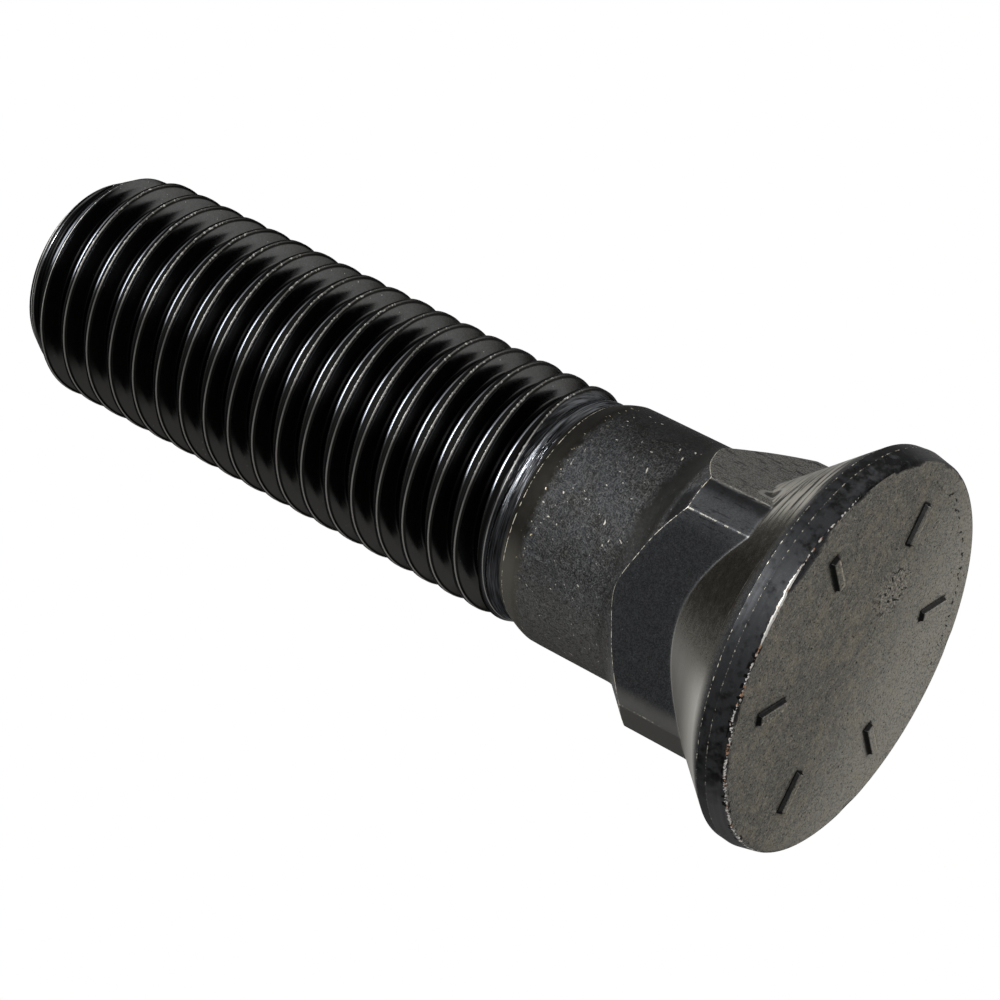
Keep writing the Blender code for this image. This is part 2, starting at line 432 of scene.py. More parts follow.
def straightened(angle, radius):
    """Turn a column that belongs to a bar so that the bar's sides run parallel."""
    inner_end = mark_middle - mark_half_length
    outer_end = mark_middle + mark_half_length
    for middle in mark_middles():
        aside = math.remainder(angle - middle, turn)
        width = inner_end * math.sin(aside)
        if abs(aside) < turn / 8 and abs(width) < mark_half_width + 0.1 * mm:
            return middle + math.asin(width / min(max(radius, inner_end), outer_end))
    return angle


def make_rim(skin, ring, ring_angles):
    """From the face's middle out over the bars and the edge, up the rim and band."""
    angles = head_angles()
    ends = [0.12, 0.0, -0.03, -0.06, -0.10, -0.14, -0.20, -0.26]
    radii = [8.4 * mm]
    radii += [mark_middle - mark_half_length - end * mm for end in ends]
    radii += [9.9 * mm, 10.6 * mm, 11.3 * mm]
    radii += [mark_middle + mark_half_length + end * mm for end in reversed(ends)]
    radii += [radius * mm for radius in outer_radii]
    first = True
    for radius in radii:
        following = []
        for angle in angles:
            straight = straightened(angle, radius)
            share, bar_wear_and_glint, foot = mark_share(radius, straight)
            chip = chip_depth(radius, straight)
            level = -mark_height * share + chip
            knocked = smooth_step(0.02 * mm, 0.08 * mm, chip)
            zones = {"face": 1 - knocked, "rim": knocked, "edge": bar_wear_and_glint, "bar_shade": foot}
            zones["from_edge"] = (face_edge_radius - radius) / mm
            following.append(skin.vertex(radius, straight, level, **zones))
        if first:
            skin.zip(following, angles, ring, ring_angles)
        else:
            skin.bridge(following, ring)
        ring = following
        first = False
    corner = (face_edge_radius, 0.0)
    profile = arc_points((14.6 * mm, 0.0), corner, (rim_radius, rim_height), face_edge_rounding, 5)
    profile += between(profile[-1], (rim_radius, rim_height), 5)
    profile += arc_points(corner, (rim_radius, rim_height), (band_radius, band_height), 0.10 * mm, 2)
    profile += between((rim_radius, rim_height), (band_radius, band_height), 2)
    cone_end = (12.0 * mm, cone_level(12.0 * mm))
    profile += arc_points((rim_radius, rim_height), (band_radius, band_height), cone_end, 0.10 * mm, 3)
    for index, (radius, level) in enumerate(profile):
        following = []
        for angle in angles:
            sway = 0.03 * mm * unevenness(angle, 0.0, 4.0 * mm, 9.0)
            chip = chip_depth(min(radius, face_edge_radius), angle)
            raised = level + chip * max(0.0, 1 - level / rim_height)
            zones = {"face": 1.0} if index < 1 and chip < 0.02 * mm else {"rim": 1.0}
            zones["from_edge"] = math.hypot(radius - face_edge_radius, level) / mm
            following.append(skin.vertex(radius - max(sway, 0.0), angle, raised, **zones))
        skin.bridge(following, ring)
        ring = following
    return ring, angles


def body_angles():
    degree = math.radians(1)
    offsets = [step * degree for step in (-1.3, -0.7, -0.3, 0.0, 0.3, 0.7, 1.3)]
    return refined_angles(180, neck_edges(), offsets, 2.0 * degree)


def body_outline(angle):
    """Radius, height and zones from the cone up to the shank's end, at one angle."""
    neck = neck_radius(angle)
    band = (band_radius, band_height)
    foot = (neck, cone_level(neck))
    neck_top = (neck, shoulder_level(neck, angle))
    over_radius = shank_radius + (neck - shank_radius) * 0.8
    over = (over_radius, shoulder_level(over_radius, angle))
    rows = []

    def add(points, **zones):
        rows.extend((point, zones) for point in points)

    cone_start = between(band, foot, 24)[1]
    fillet = arc_points(band, foot, neck_top, neck_fillet, 5)
    top_edge = arc_points(foot, neck_top, over, shoulder_edge_radius, 3)
    add(between(cone_start, fillet[0], 7), cone=1.0)
    add(fillet[:3], cone=1.0)
    add(fillet[3:], neck=1.0)
    add(between(fillet[-1], top_edge[0], 6), neck=1.0)
    add(top_edge[:1], neck=1.0, edge=0.3)
    add(top_edge[1:3], neck=0.6, shank=0.4, edge=1.0)
    add(top_edge[3:], shank=1.0, edge=0.3)
    last_radius = top_edge[-1][0]
    for step in range(1, 12):
        radius = shank_radius + (last_radius - shank_radius) * (1 - step / 11) ** 2
        add([(radius, shoulder_level(radius, angle))], shank=1.0)
    start = rows[-1][0][1]
    shank_levels = [start + (shank_end - start) * step / 9 for step in range(1, 10)]
    for level in shank_levels + shank_end_levels:
        dent = unevenness(angle, level, 5.0 * mm, 2.0) * 0.015 * mm
        add([(stem_radius(level) + min(dent, 0.0), level)], shank=1.0)
    return rows


def make_body(skin, ring, ring_angles):
    """Cone, square neck, shoulder and shank."""
    angles = body_angles()
    outlines = [body_outline(angle) for angle in angles]
    first = True
    for row in zip(*outlines):
        following = []
        for angle, ((radius, level), zones) in zip(angles, row):
            following.append(skin.vertex(radius, angle, level, **zones))
        if first:
            skin.zip(following, angles, ring, ring_angles)
        else:
            skin.bridge(following, ring)
        ring = following
        first = False
    return ring, angles


def make_thread(skin, ring, ring_angles):
    """The thread as one helical strip, whose first turn widens from nothing on a plain ring."""
    angles = even_angles(thread_columns)

    def corner(angle, nominal):
        settled = smooth_step(strip_level, strip_level + thread_pitch, nominal)
        level = nominal + thread_shift(nominal) * settled
        radius = tip_radius if level >= tip_level else strip_radius(angle, level)
        return skin.vertex(radius, angle, min(level, tip_level), thread=1.0)

    start_ring = [corner(angle, strip_level) for angle in angles]
    skin.zip(start_ring, angles, ring, ring_angles)
    turns = math.ceil((tip_level - strip_level) / thread_pitch) + 1
    columns = []
    for step in range(-thread_columns, turns * thread_columns + 1):
        place = (step + strip_first_column) % thread_columns
        angle = angles[place]
        plain, rolled = crest_knots(angle, strip_level + thread_pitch * max(step, 0) / thread_columns)
        rises = [float(np.interp(offset * mm, plain, rolled)) + thread_pitch / 2 for offset in row_offsets]
        if step == -thread_columns:
            column = [start_ring[place]] * len(rises)
        elif step <= 0:
            grown = (step + thread_columns) / thread_columns
            column = [start_ring[place]]
            column += [corner(angle, strip_level + grown * rise) for rise in rises[1:]]
        else:
            base = strip_level + thread_pitch * step / thread_columns
            column = [corner(angle, base + rise) for rise in rises]
        columns.append(column)
    last = len(columns) - 1
    for index in range(last):
        row = list(columns[index])
        following = list(columns[index + 1])
        if index + 1 + thread_columns <= last:
            row.append(columns[index + thread_columns][0])
            following.append(columns[index + 1 + thread_columns][0])
        for place in range(len(row) - 1):
            skin.face([row[place], following[place], following[place + 1], row[place + 1]])


def close_tip(skin):
    """Merge what the flat end cuts off, and fill the end with a shallow hollow."""
    flat = [v for v in skin.shape.verts if v.co.z > tip_level + mark_height - 1e-7]
    bmesh.ops.remove_doubles(skin.shape, verts=flat, dist=1e-7)
    open_edges = [edge for edge in skin.shape.edges if len(edge.link_faces) == 1]
    rings = [(tip_radius - tip_edge, 0.0), (tip_radius - 0.6 * mm, 0.02 * mm), (5.0 * mm, 0.25 * mm),
             (2.5 * mm, 0.4 * mm)]
    loop = sorted({v for edge in open_edges for v in edge.verts},
                  key=lambda v: math.atan2(v.co.y, v.co.x) % turn)
    angles = [math.atan2(v.co.y, v.co.x) % turn for v in loop]
    for radius, drop in rings:
        following = []
        for angle in angles:
            dent = 0.05 * mm * unevenness(angle, radius, 3 * mm, 4.0) if drop else 0.0
            following.append(skin.vertex(radius, angle, tip_level - drop - abs(dent), thread=1.0))
        skin.bridge(loop, following)
        loop = following
    centre = skin.vertex(0.0, 0.0, tip_level - tip_hollow, thread=1.0)
    for index, corner in enumerate(loop):
        skin.face([corner, loop[(index + 1) % len(loop)], centre])


def make_bolt():
    """The whole bolt as one closed surface."""
    skin = Skin()
    ring, angles = make_face(skin)
    ring, angles = make_rim(skin, ring, angles)
    ring, angles = make_body(skin, ring, angles)
    make_thread(skin, ring, angles)
    close = [v for v in skin.shape.verts if abs(v.co.z - mark_height - strip_level) < thread_pitch * 0.3]
    bmesh.ops.remove_doubles(skin.shape, verts=close, dist=0.012 * mm)
    close_tip(skin)
    bmesh.ops.recalc_face_normals(skin.shape, faces=skin.shape.faces)
    mesh = bpy.data.meshes.new("bolt_finish")
    skin.shape.to_mesh(mesh)
    skin.shape.free()
    mesh.shade_smooth()
    bolt = bpy.data.objects.new("bolt_finish", mesh)
    bpy.context.collection.objects.link(bolt)
    weighting = bolt.modifiers.new("face_weighted_normals", "WEIGHTED_NORMAL")
    weighting.keep_sharp = True
    return bolt


class Nodes:
    """Short names for the shader nodes that the finish, the floor and the world are made of."""

    def __init__(self, tree):
        self.tree = tree

    def node(self, kind, **settings):
        made = self.tree.nodes.new("ShaderNode" + kind)
        for name, value in settings.items():
            setattr(made, name, value)
        return made

    def put(self, socket, value):
        """Link an output to a socket, or set the socket to a number, a vector or a colour."""
        if isinstance(value, bpy.types.NodeSocket):
            self.tree.links.new(value, socket)
        else:
            socket.default_value = value

    def math(self, operation, first, second=0.0, third=0.0):
        made = self.node("Math", operation=operation)
        for socket, value in zip(made.inputs, (first, second, third)):
            self.put(socket, value)
        return made.outputs[0]

    def plus(self, first, second):
        return self.math("ADD", first, second)

    def minus(self, first, second):
        return self.math("SUBTRACT", first, second)

    def times(self, first, *others):
        """The product of two or more values."""
        result = first
        for other in others:
            result = self.math("MULTIPLY", result, other)
        return result

    def times_plus(self, value, factor, added):
        return self.math("MULTIPLY_ADD", value, factor, added)

    def vector(self, operation, first, second=(0.0, 0.0, 0.0)):
        """A vector operation; its outputs are a vector and a number."""
        made = self.node("VectorMath", operation=operation)
        self.put(made.inputs[0], first)
        self.put(made.inputs[1], second)
        return made.outputs

    def ramp(self, value, low, high, first, last, kind="SMOOTHSTEP"):
        """From first where a value is low to last where it is high, and level beyond both."""
        made = self.node("MapRange", interpolation_type=kind)
        self.put(made.inputs["Value"], value)
        self.put(made.inputs["From Min"], low)
        self.put(made.inputs["From Max"], high)
        self.put(made.inputs["To Min"], first)
        self.put(made.inputs["To Max"], last)
        return made.outputs["Result"]

    def step(self, value, low, high):
        """0 below low, 1 above high and smooth in between; high may be the lower one."""
        return self.ramp(value, low, high, 0.0, 1.0)

    def near(self, value, middle, width):
        """1 where a value is close to a middle, fading to 0 at a width from it."""
        away = self.math("ABSOLUTE", self.minus(value, middle))
        return self.step(away, width, width * 0.4)

    def mix(self, share, first, second):
        made = self.node("Mix", data_type="FLOAT")
        self.put(made.inputs[0], share)
        self.put(made.inputs[2], first)
        self.put(made.inputs[3], second)
        return made.outputs[0]

    def blend(self, share, first, second):
        """Mix two colours."""
        made = self.node("Mix", data_type="RGBA")
        self.put(made.inputs[0], share)
        self.put(made.inputs[6], first)
        self.put(made.inputs[7], second)
        return made.outputs[2]

    def zone(self, name):
        return self.node("Attribute", attribute_name=name).outputs["Fac"]

    def noise(self, place, scale, detail=2.0, roughness=0.5):
        made = self.node("TexNoise")
        self.put(made.inputs["Vector"], place)
        made.inputs["Scale"].default_value = scale
        made.inputs["Detail"].default_value = detail
        made.inputs["Roughness"].default_value = roughness
        return made.outputs["Fac"]

    def turned(self, place, angles, stretch, shift=(0.0, 0.0, 0.0)):
        """Coordinates turned and then squeezed, so that noise on them makes strokes in one direction."""
        made = self.node("Mapping", vector_type="TEXTURE")
        self.put(made.inputs["Vector"], place)
        made.inputs["Location"].default_value = shift
        made.inputs["Rotation"].default_value = [math.radians(angle) for angle in angles]
        made.inputs["Scale"].default_value = stretch
        return made.outputs[0]

    def most(self, values):
        result = values[0]
        for value in values[1:]:
            result = self.math("MAXIMUM", result, value)
        return result


def strokes(paint, place, directions, fineness, length, low, high):
    """Short strokes in several directions: thresholded noise, stretched each way in turn."""
    layers = []
    for index, angles in enumerate(directions):
        turned = paint.turned(place, angles, (1.0, 1.0, length), (index * 7.3, index * 3.1, index * 5.7))
        layers.append(paint.step(paint.noise(turned, fineness, 0.0), low, high))
    return paint.most(layers)


def grey(level, warmth=0.0):
    """A grey of one level, warmer above 0 and cooler below."""
    return (level * (1 + 0.9 * warmth), level, level * (1 - 2.1 * warmth), 1.0)


def black_steel():
    """Oil-black steel: glossy on the rolled thread, dull where forged, bright on worn edges, with painted
    light, shade and highlights on some sides.
    """
    material = bpy.data.materials.new("black_steel_finish")
    material.use_nodes = True
    paint = Nodes(material.node_tree)
    math_node, plus, minus, zone, noisy = paint.math, paint.plus, paint.minus, paint.zone, paint.noise
    times, times_plus, most = paint.times, paint.times_plus, paint.most
    step, near, mix, blend = paint.step, paint.near, paint.mix, paint.blend
    place = paint.vector("SCALE", paint.node("TexCoord").outputs["Object"])[0]
    place.node.inputs["Scale"].default_value = 1 / mm
    parts = paint.node("SeparateXYZ")
    paint.put(parts.inputs[0], place)
    x, y, z = parts.outputs
    height = minus(z, mark_height / mm)
    radius = math_node("SQRT", plus(times(x, x), times(y, y)))
    angle = math_node("ARCTAN2", y, x)
    pitch = thread_pitch / mm
    drift = early_shift / (tip_level - first_crest)
    nominal = times_plus(height, 1 + drift, -drift * tip_level / mm)
    climb = times(angle, pitch / turn)
    along = minus(minus(nominal, first_crest / mm), climb)
    offset = math_node("WRAP", along, pitch / 2, -pitch / 2)

    def side(middle):
        """Cosine of the angle round the axis from a middle given in degrees."""
        return math_node("COSINE", minus(angle, math.radians(middle)))

    def round_lines(across, length, fineness, detail=2.0, rough_share=0.6):
        """Noise drawn out into lines that run round the axis; across is where a line lies."""
        ring = paint.node("CombineXYZ")
        paint.put(ring.inputs[0], math_node("DIVIDE", x, times(radius, length / 15)))
        paint.put(ring.inputs[1], math_node("DIVIDE", y, times(radius, length / 15)))
        paint.put(ring.inputs[2], times(across, fineness))
        return noisy(ring.outputs[0], 1.0, detail, rough_share)

    # Noises that the zones share: stains, grain, pits, scratches and beads of wear
    cloud = noisy(place, 0.35, 4.0, 0.6)
    mottle = noisy(place, 1.6, 3.0, 0.6)
    grain = noisy(place, 9.0, 2.0, 0.75)
    beads = noisy(place, 3.0, 2.0, 0.6)
    dots = step(noisy(place, 4.5, 0.0), 0.58, 0.7)
    hair_ways = [(0, 20, 0), (0, 75, 40), (60, 0, 20), (110, 40, 0)]
    hairs = strokes(paint, place, hair_ways, 9.0, 5.0, 0.58, 0.78)
    scratch_ways = [(20, 30, 0), (130, 60, 0)]
    scratches = strokes(paint, place, scratch_ways, 5.0, 5.0, 0.8, 0.84)
    scratches = times(scratches, step(mottle, 0.48, 0.56))
    specks = step(noisy(place, 6.0, 0.0), 0.82, 0.88)
    pits = step(noisy(place, 5.0, 1.0, 0.5), 0.33, 0.26)

    # Forged shank, the base that the other zones are laid over, with painted light on one side and painted
    # shade on the opposite side
    curls = times(near(noisy(place, 4.4, 1.0), 0.5, 0.05), step(noisy(place, 2.9, 1.0), 0.47, 0.6))
    moved = paint.turned(place, (0, 0, 50), (1.0, 1.0, 1.0), (9.0, 4.0, 7.0))
    dark_curls = near(noisy(moved, 3.2, 1.0), 0.5, 0.055)
    colour = blend(step(cloud, 0.35, 0.65), grey(0.028, 0.03), grey(0.046, -0.03))
    # Painted light: lighter on the side round the axis near -150 degrees
    colour = blend(step(side(-150), 0.5, 1.0), colour, grey(0.105, 0.03))
    colour = blend(step(grain, 0.34, 0.58), blend(0.3, colour, grey(0.0)), colour)
    colour = blend(times(dark_curls, 0.6), colour, grey(0.008))
    colour = blend(times(curls, 0.55), colour, grey(0.15))
    colour = blend(times(hairs, 0.25), colour, grey(0.19, 0.02))
    # Painted shade: darker on the side near 30 degrees
    colour = blend(times(step(side(30), 0.25, 0.9), 0.8), colour, grey(0.004, 0.05))
    colour = blend(scratches, colour, grey(0.45, 0.06))
    rough = mix(grain, 0.58, 0.74)
    metal = 0.6
    bump = plus(times(grain, 0.7), times(curls, 1.2))

    def lay(share, new_colour, new_rough, new_metal, new_bump=0.0):
        nonlocal colour, rough, metal, bump
        colour = blend(share, colour, new_colour)
        rough = mix(share, rough, new_rough)
        metal = mix(share, metal, new_metal)
        bump = mix(share, bump, new_bump)

    # Smooth dark bands: olive where the shank narrows to the thread; painted shade along the foot of the
    # shoulder, darkest on one side, and in a patch on the neck near its corner cut
    band_edge = times_plus(mottle, 1.2, shank_end / mm - 0.9)
    past_edge = minus(height, band_edge)
    band = step(past_edge, -0.55, 0.35)
    olive = blend(mottle, grey(0.007, 0.09), grey(0.015, 0.09))
    # Painted light: the olive band is lighter on the side near -130 degrees
    olive = blend(step(side(-130), 0.72, 0.97), olive, grey(0.075, 0.08))
    lay(band, olive, 0.62, 0.7, times(grain, 0.3))
    flecks = times(near(past_edge, -0.1, 0.45), step(beads, 0.66, 0.72))
    lay(flecks, grey(0.42, 0.16), 0.5, 0.5)
    groove = near(height, rolled_edge_level / mm + 0.26, 0.2)
    shade_side = step(side(-30), 0.45, 0.95)
    # Painted shade: a dark band along the foot of the shoulder
    shoulder_foot_shade = near(times_plus(cloud, 1.2, height), neck_length / mm - 0.6, 1.7)
    soft = blend(mottle, grey(0.006, 0.05), grey(0.016, 0.05))
    lay(times(shoulder_foot_shade, times_plus(shade_side, 0.5, 0.45)), soft, 0.6, 0.6, times(grain, 0.5))
    # Painted shade: a dark patch on the neck near its corner cut, about 12 mm up
    corner_cut_shade = near(times_plus(mottle, 0.15, angle), math.radians(-51) + 0.07, 0.2)
    corner_cut_shade = times(corner_cut_shade, near(height, 12.3, 1.1), 0.9)
    lay(corner_cut_shade, grey(0.006), 0.6, 0.6)

    # Neck: smooth and blue-black, dashed along the axis on its upper flat; the upper flat and the corner cut
    # beside it are painted lighter as light, the lower corner cut gets a painted highlight, and a painted
    # shadow runs along the corner cut's edge with the upper flat
    neck = zone("neck")
    tone = blend(step(grain, 0.36, 0.62), grey(0.034, -0.02), grey(0.064, -0.02))
    tone = blend(times(curls, 0.12), tone, grey(0.2))
    tone = blend(times(specks, 0.6), tone, grey(0.3))
    # Painted highlight: a narrow lighter stripe on the lower corner cut near -135 degrees
    tone = blend(step(side(-135), 0.975, 0.99), tone, grey(0.15, 0.03))
    # Painted light: the upper flat is lighter than the other flats; its dashes are its own marks
    upper_flat = step(x, neck_half_width / mm - 0.25, neck_half_width / mm - 0.05)
    dashed = step(noisy(paint.turned(place, (0, 0, 0), (1.0, 1.0, 4.0)), 4.0, 1.0), 0.4, 0.33)
    upper_lit_colour = blend(step(grain, 0.34, 0.62), grey(0.11, 0.03), grey(0.21, 0.03))
    upper_lit_colour = blend(times(dashed, 0.8), upper_lit_colour, grey(0.02))
    tone = blend(upper_flat, tone, upper_lit_colour)
    lower_part = minus(1.0, upper_flat)
    strip = times(near(angle, math.radians(-45), 0.26), lower_part)
    # Painted light: the corner cut is a step lighter than the flat below it
    strip_grain = plus(grain, times(dashed, -0.3))
    strip_lit_colour = blend(strip_grain, grey(0.03, -0.02), grey(0.15, -0.02))
    tone = blend(strip, tone, strip_lit_colour)
    # Painted shade: a dark band on the corner cut along its edge with the upper flat
    corner_edge_shade = near(times_plus(mottle, 0.1, angle), math.radians(-37) + 0.05, 0.16)
    tone = blend(times(corner_edge_shade, lower_part, 0.8), tone, grey(0.012))
    lay(neck, tone, mix(mottle, 0.36, 0.48), 0.85, times(grain, 0.35))
    from_cut = math_node("WRAP", plus(angle, turn / 8), turn / 8, -turn / 8)
    from_cut = math_node("ABSOLUTE", from_cut)
    from_corner = times(minus(from_cut, turn / 8 - neck_edges()[1]), radius)
    upright = times(neck, near(from_corner, 0.0, 0.07), step(beads, 0.46, 0.58))
    lay(times(upright, 0.8), grey(0.36, 0.07), 0.45, 0.6)

    # Cone: brushed round the axis, with a painted sheen on the brushed lines near the top, painted shade in
    # front and painted light below
    slope_lines = round_lines(radius, 6.0, 5.0, 3.0, 0.7)
    tone = blend(step(grain, 0.3, 0.66), grey(0.07, 0.06), grey(0.145, 0.06))
    # Painted sheen: the brushed lines are lighter only on the side near 0 to -30 degrees
    brushed_sheen = times(step(side(0), 0.66, 0.8), step(side(-30), 0.55, 0.78))
    sheen_line_colour = blend(step(slope_lines, 0.4, 0.56), grey(0.05, 0.05), grey(0.38, 0.05))
    tone = blend(times(brushed_sheen, 0.8), tone, sheen_line_colour)
    cone_shade = step(times_plus(mottle, 0.06, side(-66)), 0.915, 1.045)
    # Painted light: paler on the side near -120 degrees
    pale = step(side(-120), 0.86, 0.97)
    lit_below_colour = blend(step(height, 2.6, 6.5), grey(0.52, 0.04), grey(0.24, 0.04))
    tone = blend(times(pale, 0.9), tone, lit_below_colour)
    # A curled recess where the neck's upper flat meets the cone, painted only: painted shade inside and a
    # painted highlight on its rim
    recess_away = paint.vector("DISTANCE", place, (9.8, -5.3, 7.9))["Value"]
    recess_away = times_plus(mottle, 0.5, recess_away)
    recess_shade = step(recess_away, 1.15, 0.7)
    recess_rim_highlight = near(recess_away, 1.15, 0.26)
    cone_bump = times(slope_lines, 1.0)
    lay(zone("cone"), tone, mix(slope_lines, 0.38, 0.52), 0.85, cone_bump)
    cone_shade = times(cone_shade, zone("cone"))
    lay(times(cone_shade, 0.85), grey(0.006, 0.1), 0.45, 1.0, cone_bump)
    lay(times(recess_shade, 0.6), grey(0.02), 0.5, 0.9)
    lay(times(recess_rim_highlight, 0.4), grey(0.42, 0.04), 0.45, 0.8)

    # Rim: smooth, blue-black, with soft grey patches gathered on the side near -75 degrees as painted light,
    # painted light on the sides near 20 and -150 degrees, and the band above it painted darker as shade
    drawn = round_lines(height, 5.0, 4.0)
    # Painted light: the random patches lean towards the side near -75 degrees
    patches_and_light = times_plus(side(-75), 0.4, noisy(place, 1.3, 2.0))
    tone = blend(step(patches_and_light, 0.62, 0.92), grey(0.02, -0.01), grey(0.085, -0.02))
    # Painted light: lighter on the sides near 20 and -150 degrees
    tone = blend(step(side(20), 0.9, 0.99), tone, grey(0.16))
    tone = blend(step(side(-150), 0.84, 1.0), tone, grey(0.24))
    tone = blend(times(curls, 0.15), tone, grey(0.2))
    # Painted shade: the band above the rim is darker all round
    upper_band_shade = step(height, rim_height / mm - 0.02, rim_height / mm + 0.04)
    tone = blend(times(upper_band_shade, 0.6), tone, grey(0.012, -0.02))
    tone = blend(times(drawn, 0.5), tone, grey(0.012))
    lay(zone("rim"), tone, mix(drawn, 0.38, 0.52), 0.8, times(drawn, 0.5))

    # Face: warm grey, speckled and pitted, most of all in one worn patch, and painted lighter towards one
    # side as light
    face = zone("face")
    tone = blend(step(cloud, 0.3, 0.7), grey(0.24, 0.05), grey(0.32, 0.08))
    tone = blend(step(mottle, 0.35, 0.6), grey(0.21, 0.05), tone)
    tone = blend(step(grain, 0.3, 0.58), blend(0.55, tone, grey(0.0)), tone)
    # Painted light: the face grows lighter towards +y
    lit_side = step(times_plus(x, -0.25, y), -3.0, 13.0)
    tone = blend(times(lit_side, 0.62), tone, grey(0.6, 0.05))
    tone = blend(times(curls, 0.45), tone, grey(0.6, 0.07))
    tone = blend(times(dark_curls, 0.5), tone, grey(0.05))
    tanned = times(step(noisy(place, 0.8, 2.0), 0.5, 0.7), 0.18)
    tone = blend(tanned, tone, (0.44, 0.38, 0.27, 1.0))
    patch_away = paint.vector("DISTANCE", place, (5.1, 2.5, 0.0))["Value"]
    patch = step(times_plus(mottle, 3.0, patch_away), 4.6, 2.4)
    cream = step(noisy(place, 5.0, 1.0), 0.54, 0.62)
    cream = most([specks, times(patch, times(cream, 0.7))])
    deep = step(noisy(paint.turned(place, (0, 0, 20), (1.0, 3.0, 1.0)), 3.4, 1.0), 0.44, 0.38)
    pitted_arc = near(times_plus(mottle, 0.8, radius), 14.3, 0.35)
    pitted_arc = times(pitted_arc, step(side(60), 0.5, 0.9))
    deep = times(deep, most([patch, pitted_arc]))
    pits = most([pits, deep])
    tone = blend(times(hairs, 0.22), tone, grey(0.6, 0.06))
    tone = blend(times(pits, 0.85), tone, grey(0.015))
    tone = blend(times(cream, 0.8), tone, grey(0.72, 0.08))
    face_bump = plus(times(grain, 0.9), times(mottle, 2.5))
    face_bump = minus(face_bump, times(pits, 1.5))
    lay(face, tone, mix(grain, 0.42, 0.56), 0.75, face_bump)
    # Painted shade: the foot of each raised bar is dark all round
    bar_foot_shade = times(step(zone("bar_shade"), 0.05, 0.9), 0.92)
    lay(bar_foot_shade, grey(0.022, -0.04), 0.4, 0.9)

    # Thread: glossy flanks with a few specks of dust, lighter on one side as painted reflection; painted
    # shade in the roots and on the tip-side flanks; a dull crest between two brighter edges, with painted
    # light beside the head-side edge and a painted highlight on the tip-side one
    thread = zone("thread")
    gloss = blend(cloud, grey(0.085, 0.02), grey(0.125))
    gloss = blend(step(grain, 0.35, 0.65), blend(0.25, gloss, grey(0.0)), gloss)
    # Painted reflection: the flanks are lighter on the side near -125 degrees
    gloss = blend(step(side(-125), 0.72, 0.95), gloss, grey(0.135, 0.02))
    gloss = blend(specks, gloss, grey(0.4, 0.02))
    lay(thread, gloss, mix(mottle, 0.13, 0.24), 1.0, times(mottle, 0.25))
    facing = side(wide_side)
    camera_side = step(facing, -0.25, 0.0)
    wide = math_node("POWER", most([facing, 0.0]), wide_sharpness)
    narrowed = step(height, full_crest_level / mm, narrow_crest_level / mm)
    wide = times(wide, times_plus(narrowed, -tip_narrowing, 1.0))
    front = step(facing, front_start, front_full)
    head_edge = times_plus(wide, -head_edge_swell / mm, -crest_flat / mm / 2)
    head_edge = times_plus(front, -head_edge_shift / mm, head_edge)
    tip_edge = times_plus(wide, tip_edge_swell / mm, crest_flat / mm / 2)
    tip_edge = times_plus(front, -tip_edge_shift / mm, tip_edge)
    from_head = minus(offset, head_edge)
    from_tip = minus(offset, tip_edge)
    in_root = step(math_node("ABSOLUTE", offset), 1.00, 1.12)
    # Painted shade: near black in the roots and on the tip-side flanks, on the half near -65 degrees
    root_and_flank_shade = times(most([step(from_tip, 0.05, 0.2), in_root]), camera_side)
    lay(times(thread, root_and_flank_shade), grey(0.008), 0.4, 1.0)
    tall = step(radius, major_radius / mm - 0.26, major_radius / mm - 0.12)
    crest_zone = times(step(from_head, -0.15, -0.08), step(from_tip, 0.19, 0.11))
    on_crest = times(thread, crest_zone)
    crest_lines = round_lines(offset, 5.0, 5.0)
    tone = blend(crest_lines, grey(0.002, 0.03), grey(0.009, 0.05))
    # Painted light: the crest flat is lighter beside its head-side edge on the side near -65 degrees
    tone = blend(times(step(from_head, 0.3, 0.0), front), tone, grey(0.03, 0.03))
    beside_line = times(near(from_head, 0.15, 0.08), 0.9)
    tone = blend(beside_line, tone, grey(0.0))
    lit_part = step(side(-55), 0.88, 0.99)
    edge_highlight_colour = blend(lit_part, grey(0.022, 0.02), grey(0.15, -0.03))
    # Painted highlight: a bright streak on the tip-side edge right at -65 degrees
    edge_highlight_colour = blend(step(facing, 0.97, 0.997), edge_highlight_colour, grey(0.46, -0.05))
    lay(on_crest, edge_highlight_colour, mix(mottle, 0.34, 0.44), 1.0)
    # Painted shade: just past the crest's tip-side edge, near black except near -72 degrees
    turned_away_shade = times(step(from_tip, -0.02, 0.05), step(side(-72), 0.9, 0.78), camera_side)
    lay(times(thread, turned_away_shade), grey(0.006), 0.45, 1.0)
    flat = times(step(from_head, -0.16, -0.1), step(from_tip, -0.1, -0.16))
    crest_metal = mix(step(height, 34.0, 60.0), 0.62, 0.85)
    lay(times(on_crest, flat), tone, 0.6, crest_metal, times(crest_lines, 1.0))

    # Half-formed band between the last crest and the shank's worn edge
    low_part = times(thread, step(height, runout_end / mm - 0.2, runout_start / mm + 0.2))
    half_formed = times(low_part, minus(1.0, tall))
    knurl = round_lines(height, 5.0, 9.0, 2.0, 0.7)
    knurl_colour = blend(step(knurl, 0.3, 0.7), grey(0.022), grey(0.15, -0.03))
    lay(half_formed, knurl_colour, mix(knurl, 0.22, 0.38), 0.9, times(knurl, 1.5))
    glints = times(step(round_lines(height, 2.2, 14.0, 0.0), 0.6, 0.66), step(side(-62), 0.9, 0.98))
    lay(times(half_formed, glints), grey(0.36, -0.03), 0.3, 0.9)
    # Painted shade: black in the fold and in the groove beside the shank's worn edge
    fold = near(times_plus(beads, 0.15, height), fold_level / mm + 0.06, 0.09)
    lay(times(low_part, most([fold, groove])), grey(0.004), 0.6, 0.3)

